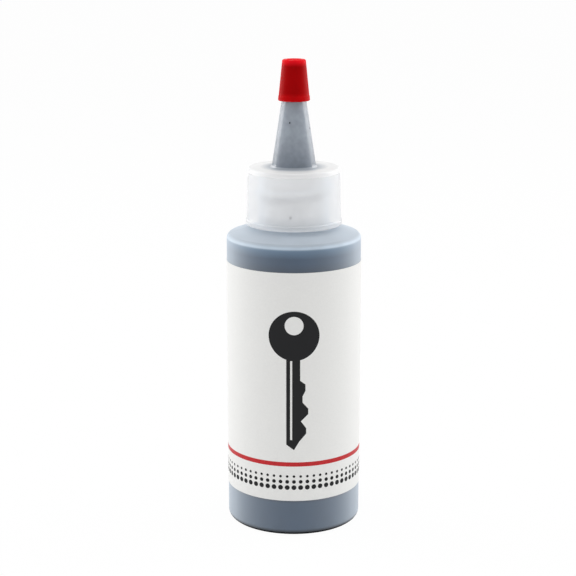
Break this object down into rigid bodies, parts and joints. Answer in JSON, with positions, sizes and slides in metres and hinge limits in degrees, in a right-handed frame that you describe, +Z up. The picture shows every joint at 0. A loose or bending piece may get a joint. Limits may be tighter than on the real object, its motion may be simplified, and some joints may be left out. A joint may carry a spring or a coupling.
{
  "type": "powder lubricant squeeze bottle",
  "caption": "Round see-through squeeze bottle of graphite powder with a wrap label, a screw-on spout closure and a push-on tip cap, for puffing dry lubricant into locks.",
  "frame": {"origin": "centre of the standing ring, on the surface that the bottle stands on", "axes": "+Z up along the bottle's axis to the spout's tip, -Y towards the label's front, with the label's lap at +Y"},
  "size_m": [0.0338, 0.0337, 0.1169],
  "materials": {
    "bottle_polyethylene": "satin blow-moulded natural polyethylene, tinted grey by the powder behind it",
    "label_paper": "semi-matte white label stock",
    "graphite_powder": "matte powder",
    "graphite_film": "thin clinging powder",
    "closure_polyethylene": "milky injection-moulded natural polyethylene",
    "red_polyethylene": "glossy injection-moulded"
  },
  "bodies": {
    "bottle": {"bottle": "bottle_polyethylene", "wrap_label": "label_paper", "powder_charge": "graphite_powder", "headspace_dust": "graphite_film"},
    "screw_stage": {"spout_dust": "graphite_film"},
    "closure": {"spout_closure": "closure_polyethylene"},
    "tip": {"tip_cap": "red_polyethylene"}
  },
  "joints": [
    {"name": "closure_lift", "type": "slide", "parent": "bottle", "child": "screw_stage", "axis": [0, 0, 1], "range_m": [0, 0.00476]},
    {"name": "closure_turn", "type": "hinge", "parent": "screw_stage", "child": "closure", "pos_m": [0, 0, 0.085], "axis": [0, 0, 1], "range_deg": [0, 540]},
    {"name": "tip_pull", "type": "slide", "parent": "closure", "child": "tip", "axis": [0, 0, 1], "range_m": [0, 0.012]}
  ],
  "couplings": [
    {"joint": "closure_lift", "follows": "closure_turn", "m_per_rad": 0.00050532}
  ]
}
